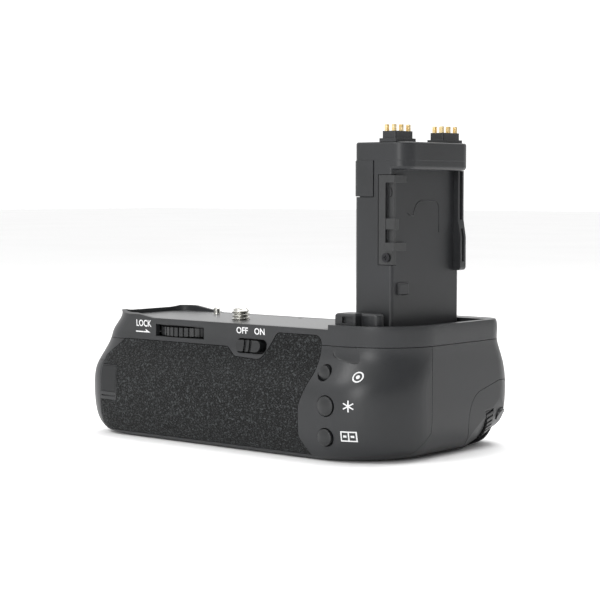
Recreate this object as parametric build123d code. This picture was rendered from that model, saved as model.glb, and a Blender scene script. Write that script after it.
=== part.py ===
from build123d import *
import math
import os

# Camera battery grip, in millimetres.
# X runs to the right as seen from behind, Y towards the lens, Z up.
# The origin is on the table, in the middle of the overall footprint.

# Casing: how far it reaches from the origin on each side, at its widest.
left_reach = 70.2
right_reach = 70.0
rear_reach = 39.0
front_reach = 40.0
waist_reach = 10.0
grip_side = 26.5
grip_slant = 8.0

# Casing heights.
bottom_round = 10.0
belly_height = 18.0
deck_height = 43.2
rim_height = 44.8
crest_height = 45.6
wall = 2.0

# How far each side draws in at the table and at the top.
left_foot_draw = 8.5
right_foot_draw = 9.0
rear_foot_draw = 5.0
front_foot_draw = 11.0
grip_foot_draw = 7.5
waist_foot_draw = 7.0
left_top_draw = 8.2
right_top_draw = -0.4
rear_top_draw = 6.4
front_top_draw = 11.0
grip_top_draw = 5.6
waist_top_draw = 5.6

# Sections below the belly, as shares of bottom_round and of each foot draw.
foot_height_shares = (0.0, 0.15, 0.5, 1.0)
foot_draw_shares = (1.0, 0.5, 0.18, 0.04)
# Sections above the belly, as shares of the height up to the crest and of each top draw.
top_height_shares = (0.0, 0.25, 0.43, 0.62, 0.725, 1.0)
left_top_shares = (0.0, 0.085, 0.25, 0.39, 0.51, 1.0)
right_top_shares = (0.0, 0.0, 0.0, 0.1, 0.4, 1.0)
rear_top_shares = (0.0, 0.125, 0.53, 0.94, 1.0, 1.0)
front_top_shares = (0.0, 0.09, 0.27, 0.57, 0.71, 1.0)
grip_top_shares = (0.0, 0.09, 0.27, 0.55, 0.73, 1.0)
waist_top_shares = (0.0, 0.09, 0.27, 0.64, 0.82, 1.0)

# Upright corner radii of the casing, at the table and at the crest.
rear_left_round = (12.5, 11.5)
rear_right_round = (25.0, 21.0)
front_right_round = (15.0, 8.0)
grip_front_round = (13.0, 11.0)
grip_root_round = (10.0, 10.0)
front_left_round = (10.0, 8.0)

# One overrun for every cut, and one hairline between parts that lie edge to edge.
overrun = 30.0
hairline = 0.18
running_gap = 0.05
part_gap = 0.3

# Seam between the top cover and the lower covers.
seam_height = 38.0
panel_top = 35.1
parting_y = -12.2
parting_foot_y = -21.3
parting_bend_z = 9.0
switch_lobe_left = -2.4
switch_lobe_low_left = 1.9
switch_lobe_low_right = 14.0
switch_lobe_right = 18.3
switch_lobe_drop = 3.1
switch_lobe_tilt = 0.5

# Top cover and deck plate.
rim_step_x = 42.4
deck_edge = 1.6
deck_plate_thickness = 1.6
ledge_width = 1.8
ledge_thickness = 1.0
deck_end_x = 39.0
deck_front_y = 3.0
deck_hole_x = 2.5
deck_hole_y = 0.6
deck_hole_radius = 0.8
rim_width = 2.6
well_depth = 2.8
well_left_x = 40.6
well_front_y = 22.4
lip_height = 45.3
lip_end_x = -39.0
lip_full_x = -52.0
lip_shoulder_x = -58.5
lip_foot_x = -64.0
lip_back_y = -36.0
lip_full_y = -29.0

# Floor frame and base plate.
plate_thickness = 2.0
plate_edge = 3.0
frame_thickness = 2.2
frame_edge = 9.0

# Attaching screw, its pinion and the thumbwheel that turns it.
screw_x = -9.6
screw_y = -17.8
screw_radius = 3.175
screw_top = 47.2
screw_hole_radius = 3.4
screw_shaft_radius = 2.5
collar_radius = 4.6
collar_thickness = 0.8
wheel_x = -28.0
wheel_y = -18.3
wheel_radius = 14.8
wheel_thickness = 3.1
wheel_bottom = 37.2
wheel_hub_radius = 6.5
wheel_rib_count = 44
wheel_groove_depth = 0.8
wheel_groove_width = 0.6
gear_teeth = 30
pinion_teeth = 24
gear_module = math.hypot(screw_x - wheel_x, screw_y - wheel_y) * 2 / (gear_teeth + pinion_teeth)
gear_bottom = 32.6
gear_thickness = 3.0
tooth_share = 0.4
addendum_share = 0.8
dedendum_share = 1.1
axle_radius = 1.5
axle_shoulder_radius = 3.0
bush_radius = 4.0
bush_flange_radius = 5.2
wheel_slot_left = -37.4
wheel_slot_right = -13.7
wheel_slot_low = 36.8
wheel_slot_high = 41.1

# Locating pin on the deck.
locating_x = -36.3
locating_y = -1.5
locating_radius = 1.25
locating_shank_radius = 1.6
locating_chamfer = 0.4
locating_flange_radius = 2.4
locating_height = 2.2

# Battery magazine: cap, tray, two packs and the turn latch.
cap_x = -60.0
opening_top = 27.0
tray_wall = 0.8
tray_end_wall = 1.5
tray_divider = 1.2
pack_length = 56.8
pack_width = 38.2
pack_height = 21.0
pack_gap = 0.1
pack_round = 1.6
tray_rear_y = -33.8
tray_bottom = 4.5
tray_left_x = -63.8
tray_head_room = -0.3
tray_relief_x = -50.0
cap_gap = 0.15
cap_inner_depth = 6.3
cap_roof = 1.55
latch_y = -14.5
latch_z = 14.5
latch_radius = 7.0
latch_disc_thickness = 0.8
latch_grip_width = 2.4
latch_grip_height = 0.7
latch_grip_share = 0.85
latch_recess_x = -68.1
latch_face_gap = 0.3
latch_slot_front = -4.0
latch_slot_rear = -17.5
latch_shaft_radius = 2.5
latch_arm_length = 13.8
latch_arm_width = 4.0
latch_arm_thickness = 1.5
latch_arm_x = -65.9

# Metal frame above the magazine, and the circuit board on it.
chassis_thickness = 1.5
chassis_left_x = -56.0
post_height = 1.9
post_radius = 1.5
board_thickness = 1.2
board_left_x = -2.0
board_right_x = 38.5
board_rear_y = -28.0
board_front_y = 3.5
post_margin = 3.0
chip_size = 9.0
chip_height = 1.2

# Rear buttons: where each stands, the casing's surface there and its radius.
button_rise = 1.0
button_clearance = 0.3
button_crown_share = 2.4
button_flange = 0.6
button_flange_thickness = 0.45
upper_button_x = 43.6
upper_button_z = 29.3
upper_button_y = -35.8
upper_button_radius = 2.4
middle_button_x = 46.3
middle_button_z = 18.8
middle_button_radius = 3.2
main_button_y = -39.0
button_flange_depth = 2.65
button_dome_depth = 3.5
lower_button_x = 46.2
lower_button_z = 8.5
lower_button_radius = 2.8
dome_size = 4.0
dome_thickness = 0.5
button_board_thickness = 0.9
button_board_margin = 0.6
button_board_low = 4.8
button_board_high = 24.2
button_post_radius = 0.8
button_post_reach = 4.4
button_post_z = 13.4
button_post_side = 2.4
button_post_depth = 1.0
notch_front_y = -29.8
notch_reach = 6.0

# Power switch.
switch_left = 1.9
switch_right = 15.7
switch_low = 33.4
switch_high = 38.3
switch_round = 2.0
slider_width = 11.2
slider_travel = 2.2
slider_gap = 0.2
slider_side_gap = 0.5
slider_rise = 0.9
slider_flange_overlap = 1.6
slider_flange_thickness = 1.0
slider_flange_gap = 1.2
slider_groove_width = 1.2
slider_groove_depth = 0.8
slider_peg_radius = 0.7
slide_switch_depth = 4.4
slide_switch_height = 6.0
slide_switch_width = 10.0
slider_peg_length = 2.2
slider_peg_z = 36.0

# Rear rubber panel and cord cover.
rubber_thickness = 1.0
panel_left = -59.6
panel_low = 2.0
flap_left = -59.2
flap_right = -52.1
flap_low = 16.0
flap_high = 25.2
flap_thickness = 1.4
flap_zone_right = -51.5
flap_zone_high = 25.8
flap_zone_low = 12.8
flap_groove_z = 14.2
flap_groove_width = 0.5
flap_groove_depth = 0.5
cord_hole_width = 3.6
cord_hole_height = 5.0

# Front rubber panel.
front_rubber_left = 22.0
front_rubber_right = 58.0
front_rubber_low = 7.0
front_rubber_high = 36.0
front_rubber_round = 8.0
front_rubber_from_y = 13.0

# Outline of the rear rubber panel, seen from behind.
panel_corner_x = -52.5
panel_slope_x = -59.4
panel_slope_z = 29.0
bump_left = 20.5
bump_right = 39.4
bump_top = 41.0
neck_x = 34.4
neck_z = 18.0
neck_top_z = 29.0
neck_low_z = 8.0
panel_foot_x = 38.6
panel_round = 2.6
flap_zone_round = 1.0
panel_wide_round = 9.0

# Thumb dimple beside the upper button.
dimple_x = 52.0
dimple_z = 36.0
dimple_width = 7.5
dimple_height = 3.6
dimple_depth = 1.1
dimple_draw_share = 0.95


# Stem that fills the camera's battery bay.
stem_left = 42.2
stem_right = 58.0
stem_rear = -18.8
stem_front = 19.8
stem_wall = 1.6
stem_round = 1.2
stem_left_round = 2.0
stem_flange = 3.0
stem_flange_thickness = 1.6
stem_hole_gap = 0.4
head_right = 63.6
head_bottom = 95.7
head_seam = 98.9
head_top = 105.0
head_round = 5.5
head_edge_round = 0.7
head_foot_round = 1.4
head_skin = 1.5
leg_right = 50.4
leg_bottom = 87.0
leg_front_y = -9.0
leg_proud = 0.3
leg_thickness = 1.2
groove_bottom = 63.6
groove_radius = 2.4

# Hinge bracket pocket on the rear corner of the stem.
bracket_left = 52.3
bracket_top = 94.3
bracket_low = 64.3
bracket_depth = 2.4
bracket_thickness = 1.0
bracket_step_x = 55.3
bracket_sink = 0.1
bracket_pad_top = 69.1
lug_left = 55.3
lug_reach = 6.6
lug_thickness = 1.0
upper_lug_low = 91.6
upper_lug_high = 94.1
lower_lug_low = 69.1
lower_lug_high = 71.8
catch_low = 76.2
catch_high = 79.8
catch_left = 55.3
catch_rise = 1.1
bracket_screw_x = 55.9
bracket_screw_z = 66.9
bracket_screw_radius = 1.55
bracket_screw_rise = 0.5
bracket_screw_shank = 0.7
bracket_screw_length = 2.6
drive_width = 0.4

# Nub and spring clip on the recess face of the stem.
nub_y = -13.0
nub_width = 5.4
nub_low = 54.4
nub_high = 58.4
nub_rise = 1.0
clip_inner_y = 16.5
clip_low = 61.6
clip_rise = 2.0
clip_round = 1.2
clip_bend_round = 4.0
clip_flare = 1.0
clip_flare_low = 73.0
clip_flare_high = 79.0
clip_slot_depth = 0.8
clip_slot_width = 1.6
clip_window_low = 64.6
clip_window_high = 76.0
clip_window_width = 1.2
clip_window_depth = 0.6

# Contact blocks on top of the stem.
block_x = 56.0
block_rear_y = -13.0
block_front_y = 14.0
block_depth = 5.6
block_width = 9.8
block_top = 108.6
block_base_height = 1.2
block_base_edge = 0.6
contact_top = 110.8
contact_pitch_x = 3.0
contact_pitch_y = 3.9
contact_rows = 3
contact_width = 1.0
contact_length = 1.2
contact_sink = 1.4
contact_board_top = 101.0
contact_board_thickness = 1.0

# Hook block between the rear rim and the stem.
hook_left = 42.7
hook_middle = 51.2
hook_right = 58.0
hook_rear = -29.3
hook_nub_rear = -25.8
hook_front = -21.6
hook_top = 48.6
hook_pocket_left = 45.6
hook_pocket_low = 45.4
hook_wall = 1.1
hook_pocket_depth = 1.0
hook_round = 1.0

# Release module on the lower front corner: its flat faces along release_normal.
release_normal = Vector(0.82, 0.18, -0.545).normalized()
dial_direction = Vector(-0.11, 0.947, 0.31)
release_level = 55.5
release_corner_round = 17.0
release_wall = 2.0
release_depth = 9.4
release_height = 8.0
release_centre_x = 67.0
release_centre_y = 25.0
release_length = 29.0
release_up = 13.5
release_down = 9.0
release_round = 9.0
dial_shift = -1.6
dial_lift = -0.4
dial_radius = 9.6
dial_thickness = 4.2
dial_proud = 0.9
dial_rib_count = 36
dial_groove_depth = 0.5
dial_groove_width = 0.7
dial_slot_gap = 0.4
dial_axle_radius = 1.0
ear_thickness = 1.6
ear_width = 4.6
ear_below_axle = 2.3
shutter_shift = 6.2
shutter_lift = 2.2
shutter_radius = 2.2
shutter_rise = 0.3
shutter_travel = 0.8
shutter_flange = 0.4
shutter_flange_thickness = 0.6
shutter_plunger_radius = 1.4
shutter_plunger_length = 0.6
shutter_switch_size = 5.0
shutter_switch_height = 2.2
release_board_gap = 0.3
release_board_right = 12.6
release_board_width = 11.2
release_post_shift = 1.4
release_post_radius = 1.0

# Terminals between the magazine and the casing.
terminal_rear = -26.0
terminal_front = -2.0
terminal_low = 8.0
terminal_depth = 4.4
terminal_reach = 1.4
spring_round_share = 0.3
terminal_count = 4
terminal_pitch = 5.0
terminal_width = 2.2
terminal_height = 6.0
pad_thickness = 0.2

# Ribbon from the contact board down to the circuit board.
ribbon_width = 10.0
ribbon_thickness = 0.3
ribbon_slot_top = 33.8
ribbon_margin = 1.0
connector_depth = 3.2
connector_height = 1.6

# Socket for a tripod, and the small screws.
socket_radius = 5.0
socket_flange_radius = 7.5
socket_flange_thickness = 1.2
case_screw_radius = 1.0
case_screw_head = 1.9
case_screw_head_height = 1.1
case_screw_inset = 0.1
case_screw_tip = 4.0
case_screw_rear_y = -28.0
case_screw_front_y = -3.0
case_screw_left_x = -50.0
case_screw_middle_x = 2.0
case_screw_inner_x = 6.0
case_screw_right_x = 36.0
case_screw_grip_x = 46.0
case_screw_grip_y = 22.0
case_screw_side_x = 55.0
case_screw_spots = (
    (case_screw_left_x, case_screw_rear_y),
    (case_screw_left_x, case_screw_front_y),
    (case_screw_middle_x, case_screw_rear_y),
    (case_screw_inner_x, case_screw_front_y),
    (case_screw_right_x, case_screw_rear_y),
    (case_screw_grip_x, case_screw_grip_y),
    (case_screw_side_x, 0),
)
flange_screw_inset = 1.5
ribbon_y = -8.0
ribbon_x = 45.0
thread_pitch = 1.27
thread_depth = 0.65
thread_low = 42.5

parts = {}


def block(x, y, z):
    """A box between the two values of each pair."""
    size = [max(pair) - min(pair) for pair in (x, y, z)]
    middle = [(pair[0] + pair[1]) / 2 for pair in (x, y, z)]
    return Pos(*middle) * Box(*size)


def rod(radius, start, direction, length):
    """A cylinder that starts at a point and runs along a direction."""
    plane = Plane(origin=start, z_dir=direction)
    return plane * Cylinder(radius, length, align=(Align.CENTER, Align.CENTER, Align.MIN))


def upright(radius, x, y, low, high):
    """A vertical cylinder."""
    return rod(radius, (x, y, low), (0, 0, 1), high - low)


def rear_prism(points, from_y, to_y):
    """A polygon drawn in X and Z, filled between two values of Y."""
    plane = Plane(origin=(0, to_y, 0), x_dir=(1, 0, 0), z_dir=(0, -1, 0))
    face = make_face(plane * Polyline(*points, close=True))
    return extrude(face, amount=to_y - from_y, dir=(0, -1, 0))


def side_prism(points, from_x, to_x):
    """A polygon drawn in Y and Z, filled between two values of X."""
    plane = Plane(origin=(from_x, 0, 0), x_dir=(0, 1, 0), z_dir=(1, 0, 0))
    face = make_face(plane * Polyline(*points, close=True))
    return extrude(face, amount=to_x - from_x, dir=(1, 0, 0))


def wedge(points, round_over, from_y, to_y):
    """As rear_prism, with its corners rounded by one radius, or by one for each corner."""
    plane = Plane(origin=(0, to_y, 0), x_dir=(1, 0, 0), z_dir=(0, -1, 0))
    face = make_face(plane * FilletPolyline(*points, radius=round_over, close=True))
    return extrude(face, amount=to_y - from_y, dir=(0, -1, 0))


def between(pair, share):
    return pair[0] + (pair[1] - pair[0]) * share


def casing_corners(height, draws):
    """The casing's six corners at one height, anticlockwise from the rear left, with their radii."""
    left, right, rear, front, grip, waist = draws
    share = height / crest_height
    return [
        ((-left_reach + left, -rear_reach + rear), between(rear_left_round, share)),
        ((right_reach - right, -rear_reach + rear), between(rear_right_round, share)),
        ((right_reach - right, front_reach - front), between(front_right_round, share)),
        ((grip_side + grip, front_reach - front), between(grip_front_round, share)),
        ((grip_side + grip - grip_slant, waist_reach - waist), -between(grip_root_round, share)),
        ((-left_reach + left, waist_reach - waist), between(front_left_round, share)),
    ]


def casing_stations():
    """Each section's height and its six draws."""
    foot_draws = (left_foot_draw, right_foot_draw, rear_foot_draw, front_foot_draw, grip_foot_draw,
                  waist_foot_draw)
    top_draws = (left_top_draw, right_top_draw, rear_top_draw, front_top_draw, grip_top_draw, waist_top_draw)
    tables = (left_top_shares, right_top_shares, rear_top_shares, front_top_shares, grip_top_shares,
              waist_top_shares)
    stations = []
    for height_share, draw_share in zip(foot_height_shares, foot_draw_shares):
        stations.append((height_share * bottom_round, [draw * draw_share for draw in foot_draws]))
    for i, height_share in enumerate(top_height_shares):
        height = belly_height + height_share * (crest_height - belly_height)
        stations.append((height, [draw * table[i] for draw, table in zip(top_draws, tables)]))
    return stations


def rounded_outline(corners, height, inset):
    """A closed wire of lines and arcs round the corners, drawn in by inset.

    A negative radius is a hollow corner.
    """
    points = [Vector(x, y) for (x, y), radius in corners]
    count = len(points)
    moved = []
    for i in range(count):
        before = (points[i] - points[i - 1]).normalized()
        after = (points[(i + 1) % count] - points[i]).normalized()
        in_before = Vector(-before.Y, before.X)
        in_after = Vector(-after.Y, after.X)
        moved.append(points[i] + (in_before + in_after) * (inset / (1 + in_before.dot(in_after))))
    arcs = []
    for i in range(count):
        radius = corners[i][1] - inset if corners[i][1] > 0 else inset - corners[i][1]
        back = (moved[i - 1] - moved[i]).normalized()
        on = (moved[(i + 1) % count] - moved[i]).normalized()
        half = math.acos(max(-1.0, min(1.0, back.dot(on)))) / 2
        reach = radius / math.tan(half)
        middle = moved[i] + (back + on).normalized() * (radius / math.sin(half) - radius)
        arcs.append((moved[i] + back * reach, middle, moved[i] + on * reach))
    edges = []
    for i in range(count):
        start, middle, end = arcs[i]
        edges.append(Line(arcs[i - 1][2], start))
        edges.append(ThreePointArc(start, middle, end))
    return Pos(0, 0, height) * Wire(edges)


def casing(inset):
    """The casing's outer form, drawn in by inset."""
    return Solid.make_loft([rounded_outline(casing_corners(height, draws), height, inset)
                            for height, draws in casing_stations()])


def base_slab(inset, low, high):
    """The casing's footprint on the table, drawn in by inset, as an upright slab."""
    height, draws = casing_stations()[0]
    face = make_face(rounded_outline(casing_corners(height, draws), low, inset))
    return extrude(face, amount=high - low, dir=(0, 0, 1))


whole_x = (-left_reach - overrun, right_reach + overrun)
whole_y = (-rear_reach - overrun, front_reach + overrun)
whole_z = (-overrun, contact_top + overrun)

outer = casing(0)
inner = casing(wall)
under_rubber = casing(rubber_thickness)
under_flap = casing(flap_thickness)

frame_top = plate_thickness + frame_thickness
deck_low = deck_height - deck_plate_thickness
ledge_low = deck_low - ledge_thickness
well_floor = rim_height - well_depth
chassis_low = opening_top
chassis_top = chassis_low + chassis_thickness


def above_seam(clearance):
    """The space that the top cover takes: over the rubber on the left, over the seam on the right."""
    lobe_low = panel_top - switch_lobe_drop
    points = [
        (whole_x[0], panel_top + clearance),
        (switch_lobe_left, panel_top + clearance),
        (switch_lobe_low_left, lobe_low + clearance),
        (switch_lobe_low_right, lobe_low - switch_lobe_tilt + clearance),
        (switch_lobe_right, seam_height + clearance),
        (whole_x[1], seam_height + clearance),
        (whole_x[1], whole_z[1]),
        (whole_x[0], whole_z[1]),
    ]
    sharp = 0.0
    rounds = [sharp, panel_round, panel_round, panel_round, sharp, sharp, sharp, sharp]
    return wedge(points, rounds, *whole_y)


def pillar(x, y, z, round_over):
    """A block whose four upright edges are rounded."""
    face = RectangleRounded(max(x) - min(x), max(y) - min(y), round_over)
    solid = extrude(face, amount=max(z) - min(z), dir=(0, 0, 1))
    return Pos(between(x, 0.5), between(y, 0.5), min(z)) * solid


def behind_parting(clearance):
    """The space of the rear cover: its front edge turns back towards the table."""
    bend_y, foot_y = parting_y - clearance, parting_foot_y - clearance
    points = [(whole_y[0], whole_z[0]), (foot_y, whole_z[0]), (foot_y, 0), (bend_y, parting_bend_z),
              (bend_y, whole_z[1]), (whole_y[0], whole_z[1])]
    return side_prism(points, *whole_x)


def under(height):
    return block(whole_x, whole_y, (whole_z[0], height))


def over(height):
    return block(whole_x, whole_y, (height, whole_z[1]))


def left_of(x):
    return block((whole_x[0], x), whole_y, whole_z)


def right_of(x):
    return block((x, whole_x[1]), whole_y, whole_z)


def ring_gear(teeth, low, high, x, y, turn):
    """A spur gear with straight-sided teeth."""
    pitch_radius = gear_module * teeth / 2
    root = pitch_radius - gear_module * dedendum_share
    tip = pitch_radius + gear_module * addendum_share
    step = 360 / teeth
    points = []
    for i in range(teeth):
        middle = i * step + turn
        flanks = ((root, -tooth_share), (tip, -tooth_share / 2), (tip, tooth_share / 2), (root, tooth_share))
        for radius, share in flanks:
            angle = math.radians(middle + share * step / 2 * (1 + (radius == root) / 2))
            points.append((radius * math.cos(angle), radius * math.sin(angle)))
    face = make_face(Polyline(*points, close=True))
    return Pos(x, y, low) * extrude(face, amount=high - low, dir=(0, 0, 1))


def ribbed(radius, thickness, count, groove_depth, groove_width):
    """A disc on the XY plane with a row of grooves round its rim."""
    shape = Cylinder(radius, thickness, align=(Align.CENTER, Align.CENTER, Align.MIN))
    groove = Pos(radius, 0, 0) * Box(groove_depth * 2, groove_width, overrun)
    return shape - [Rot(0, 0, 360 / count * i) * groove for i in range(count)]


# Rubber panels.

def rear_panel(clearance):
    points = [
        (panel_left - clearance, panel_low - clearance),
        (panel_left - clearance, flap_zone_low + clearance),
        (flap_zone_right - clearance, flap_zone_low + clearance),
        (flap_zone_right - clearance, flap_zone_high - clearance),
        (panel_slope_x - clearance, flap_zone_high - clearance),
        (panel_slope_x - clearance, panel_slope_z),
        (panel_corner_x - clearance, panel_top + clearance),
        (switch_lobe_left + clearance, panel_top + clearance),
        (switch_lobe_low_left + clearance, panel_top - switch_lobe_drop + clearance),
        (switch_lobe_low_right - clearance, panel_top - switch_lobe_drop - switch_lobe_tilt + clearance),
        (switch_lobe_right - clearance, seam_height + clearance),
        (bump_left - clearance, bump_top + clearance),
        (bump_right + clearance, bump_top + clearance),
        (bump_right + clearance, neck_top_z),
        (neck_x + clearance, neck_z),
        (neck_x + clearance, neck_low_z),
        (panel_foot_x + clearance, panel_low - clearance),
    ]
    sharp = 0.0
    rounds = [sharp, sharp, sharp, flap_zone_round, sharp, sharp]
    rounds += [panel_round, panel_round, panel_round, panel_round, sharp]
    rounds += [panel_round, panel_round, panel_wide_round, panel_wide_round, panel_round, sharp]
    return wedge(points, rounds, whole_y[0], 0) & (outer - under_rubber)


def front_panel(clearance):
    low, high = front_rubber_low - clearance, front_rubber_high + clearance
    left, right = front_rubber_left - clearance, front_rubber_right + clearance
    points = [(left, low), (right, low), (right, high), (left, high)]
    pad = wedge(points, front_rubber_round, front_rubber_from_y - clearance, whole_y[1])
    return pad & (outer - under_rubber)


# Release module.

release_turned = (dial_direction - release_normal * dial_direction.dot(release_normal)).normalized()
release_middle = Vector(release_centre_x, release_centre_y, release_height)
release_origin = release_middle + release_normal * (release_level - release_middle.dot(release_normal))
release_plane = Plane(origin=release_origin, x_dir=release_turned, z_dir=release_normal)
release_sideways = (Vector(1, 0, 0) - release_turned * release_turned.X).normalized()
release_axis_point = release_plane.from_local_coords((0, dial_lift, -release_corner_round))
release_corner = Plane(origin=release_axis_point, x_dir=release_sideways, z_dir=-release_turned)


def release_prism(clearance, low, high):
    """The release module's outline, drawn out by clearance, between two heights over its facet."""
    length = release_length + clearance * 2
    width = release_up + release_down + clearance * 2
    face = RectangleRounded(length, width, release_round + clearance)
    middle = (release_up - release_down) / 2
    return release_plane * Pos(0, middle, low) * extrude(face, amount=high - low, dir=(0, 0, 1))


def corner_form(inset):
    """The space inside the module's rounded outer face, which runs on flat up and down."""
    radius = release_corner_round - inset
    reach = (-overrun, overrun)
    shape = Cylinder(radius, overrun * 2)
    shape += block((-overrun, radius), (0, overrun), reach)
    shape += block((-overrun, 0), (-radius, overrun), reach)
    return release_corner * shape


def release_block(x, y, z):
    return release_plane * block(x, y, z)


def release_rod(radius, x, y, low, high):
    start = release_plane.from_local_coords((x, y, low))
    return rod(radius, start, release_normal, high - low)


# Buttons on the rear: name, x, z, surface y, radius.
rear_buttons = (
    ("upper_button", upper_button_x, upper_button_z, upper_button_y, upper_button_radius),
    ("middle_button", middle_button_x, middle_button_z, main_button_y, middle_button_radius),
    ("lower_button", lower_button_x, lower_button_z, main_button_y, lower_button_radius),
)

tray_high = tray_bottom + tray_wall + pack_height + tray_head_room
tray_front_y = tray_rear_y + tray_wall * 2 + pack_gap * 2 + pack_width
tray_right_x = tray_left_x + tray_end_wall + tray_divider * 2 + pack_gap * 4 + pack_length * 2


def button_posts():
    posts = []
    y = upper_button_y + button_post_depth
    back = upper_button_y + button_board_depth
    for side in (-button_post_reach, button_post_reach):
        posts.append(rod(button_post_radius, (upper_button_x + side, y, upper_button_z), (0, 1, 0),
                         back - y))
    y = main_button_y + button_post_depth
    back = main_button_y + button_board_depth
    for side in (-button_post_side, button_post_side):
        posts.append(rod(button_post_radius, (middle_button_x + side, y, button_post_z), (0, 1, 0),
                         back - y))
    return posts


button_board_depth = button_dome_depth + dome_thickness


def button_cuts():
    """Holes for the caps, and relief behind the wall for their flanges."""
    cuts = []
    for _, x, z, y, radius in rear_buttons:
        cuts.append(rod(radius + button_clearance, (x, whole_y[0], z), (0, 1, 0),
                        y - whole_y[0] + button_dome_depth))
        flange = radius + button_flange + part_gap
        start = y + button_flange_depth - part_gap
        cuts.append(rod(flange, (x, start, z), (0, 1, 0), button_dome_depth))
    return cuts


def floor_frame():
    frame = base_slab(wall / 2, 0, frame_top)
    frame -= base_slab(frame_edge, -overrun, overrun)
    frame -= upright(socket_flange_radius + hairline, screw_x, screw_y, 0, whole_z[1])
    return frame - base_slab(plate_edge, -overrun, plate_thickness)


def case_screw_holes():
    holes = []
    for x, y in case_screw_spots:
        holes.append(upright(case_screw_head, x, y, -overrun, case_screw_head_height + case_screw_inset))
        holes.append(upright(case_screw_radius, x, y, 0, case_screw_tip))
    return holes


def lower_shell():
    """Everything of the casing under the seam, before it is split into front and rear."""
    shell = outer - inner - above_seam(-hairline)
    shell = shell + floor_frame()
    shell -= block((whole_x[0], cap_x), whole_y, (whole_z[0], opening_top))
    tray_y = (tray_rear_y - part_gap, tray_front_y + part_gap)
    shell -= block((whole_x[0], tray_relief_x), tray_y, (frame_top, opening_top))
    shell -= release_prism(hairline, -release_depth - hairline, overrun)
    return shell - case_screw_holes()


def dimple():
    centre_y = -rear_reach + rear_top_draw * dimple_draw_share
    ball = Sphere(dimple_width)
    flat = scale(ball, by=(1, dimple_depth / dimple_width, dimple_height / dimple_width))
    return Pos(dimple_x, centre_y, dimple_z) * flat


def rear_cover(shell):
    shape = shell & behind_parting(hairline / 2)
    shape -= dimple()
    shape += button_posts()
    shape -= rear_panel(hairline)
    shape -= button_cuts()
    flap_y = (whole_y[0], -rear_reach / 2)
    gap = cap_gap
    recess = block((flap_left - gap, flap_right + gap), flap_y, (flap_low - gap, flap_high + gap))
    shape -= recess & (outer - casing(flap_thickness + gap))
    cord_x = between((flap_left, flap_right), 0.5)
    cord_z = between((flap_low, flap_high), 0.5)
    half_width, half_height = cord_hole_width / 2, cord_hole_height / 2
    shape -= block((cord_x - half_width, cord_x + half_width), flap_y,
                   (cord_z - half_height, cord_z + half_height))
    nail = block((flap_left, flap_right), flap_y, (flap_groove_z, flap_groove_z + flap_groove_width))
    shape -= nail & (outer - casing(flap_groove_depth))
    return shape


def front_cover(shell):
    return shell - behind_parting(-hairline / 2) - front_panel(hairline) - dial_room()


def switch_window():
    points = [(switch_left, switch_low), (switch_right, switch_low), (switch_right, switch_high),
              (switch_left, switch_high)]
    return wedge(points, switch_round, whole_y[0], board_rear_y)


def deck_zone(inset, right, front):
    return casing(inset) & block((whole_x[0], right), (whole_y[0], front), (0, crest_height))


def front_lip():
    """A low rim round the left end and the front of the deck, upright on its inner side."""
    inside = deck_zone(deck_edge, deck_end_x, overrun) & over(deck_low) & under(deck_height)
    inside = extrude(inside.faces().sort_by(Axis.Z)[-1], amount=overrun, dir=(0, 0, 1))
    ring = (outer & under(lip_height) & over(deck_height)) - inside
    along = [(whole_x[0], 0), (lip_end_x, 0), (lip_end_x, deck_height), (lip_full_x, lip_height),
             (lip_shoulder_x, lip_height), (lip_foot_x, deck_height), (whole_x[0], deck_height)]
    across = [(lip_back_y, 0), (whole_y[1], 0), (whole_y[1], lip_height), (lip_full_y, lip_height),
              (lip_back_y, deck_height)]
    return ring & rear_prism(along, *whole_y) & side_prism(across, *whole_x)


def well():
    """The hollow round the foot of the stem, inside the rim."""
    corner = block((well_left_x, whole_x[1]), (whole_y[0], well_front_y), (well_floor, whole_z[1]))
    return casing(rim_width) & corner


def top_cover():
    shape = (outer & above_seam(0)) - (inner & under(ledge_low))
    shape -= left_of(rim_step_x) & over(deck_height)
    shape += front_lip()
    shape -= deck_zone(deck_edge, deck_end_x, deck_front_y) & over(deck_low)
    shape -= deck_zone(deck_edge + ledge_width, deck_end_x - ledge_width,
                       deck_front_y - ledge_width) & over(whole_z[0])
    shape -= over(rim_height) & right_of(rim_step_x)
    shape -= well()
    gap = stem_hole_gap
    hole_x = (stem_left - gap, stem_right + gap)
    hole_y = (stem_rear - gap, stem_front + gap)
    shape -= pillar(hole_x, hole_y, (0, whole_z[1]), stem_round)
    slot = block((wheel_slot_left, wheel_slot_right), (whole_y[0], wheel_y),
                 (wheel_slot_low, wheel_slot_high))
    shape -= slot & (outer - inner)
    shape -= switch_window()
    shape -= rear_panel(hairline)
    shape -= left_of(0) & under(belly_height)
    return shape


def deck_plate():
    shape = deck_zone(deck_edge + hairline, deck_end_x - hairline, deck_front_y - hairline)
    shape &= over(deck_low) & under(deck_height)
    shape -= upright(screw_hole_radius, screw_x, screw_y, 0, whole_z[1])
    shape -= upright(locating_shank_radius, locating_x, locating_y, 0, whole_z[1])
    shape -= upright(deck_hole_radius, deck_hole_x, deck_hole_y, 0, whole_z[1])
    return shape


def bottom_plate():
    shape = base_slab(plate_edge + hairline, 0, plate_thickness)
    shape -= upright(socket_radius, screw_x, screw_y, -overrun, overrun)
    return shape - case_screw_holes()


def tripod_socket():
    shape = upright(socket_radius, screw_x, screw_y, 0, frame_top)
    shape += upright(socket_flange_radius, screw_x, screw_y, plate_thickness,
                     plate_thickness + socket_flange_thickness)
    return shape - upright(screw_radius, screw_x, screw_y, -overrun, overrun)


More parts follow.
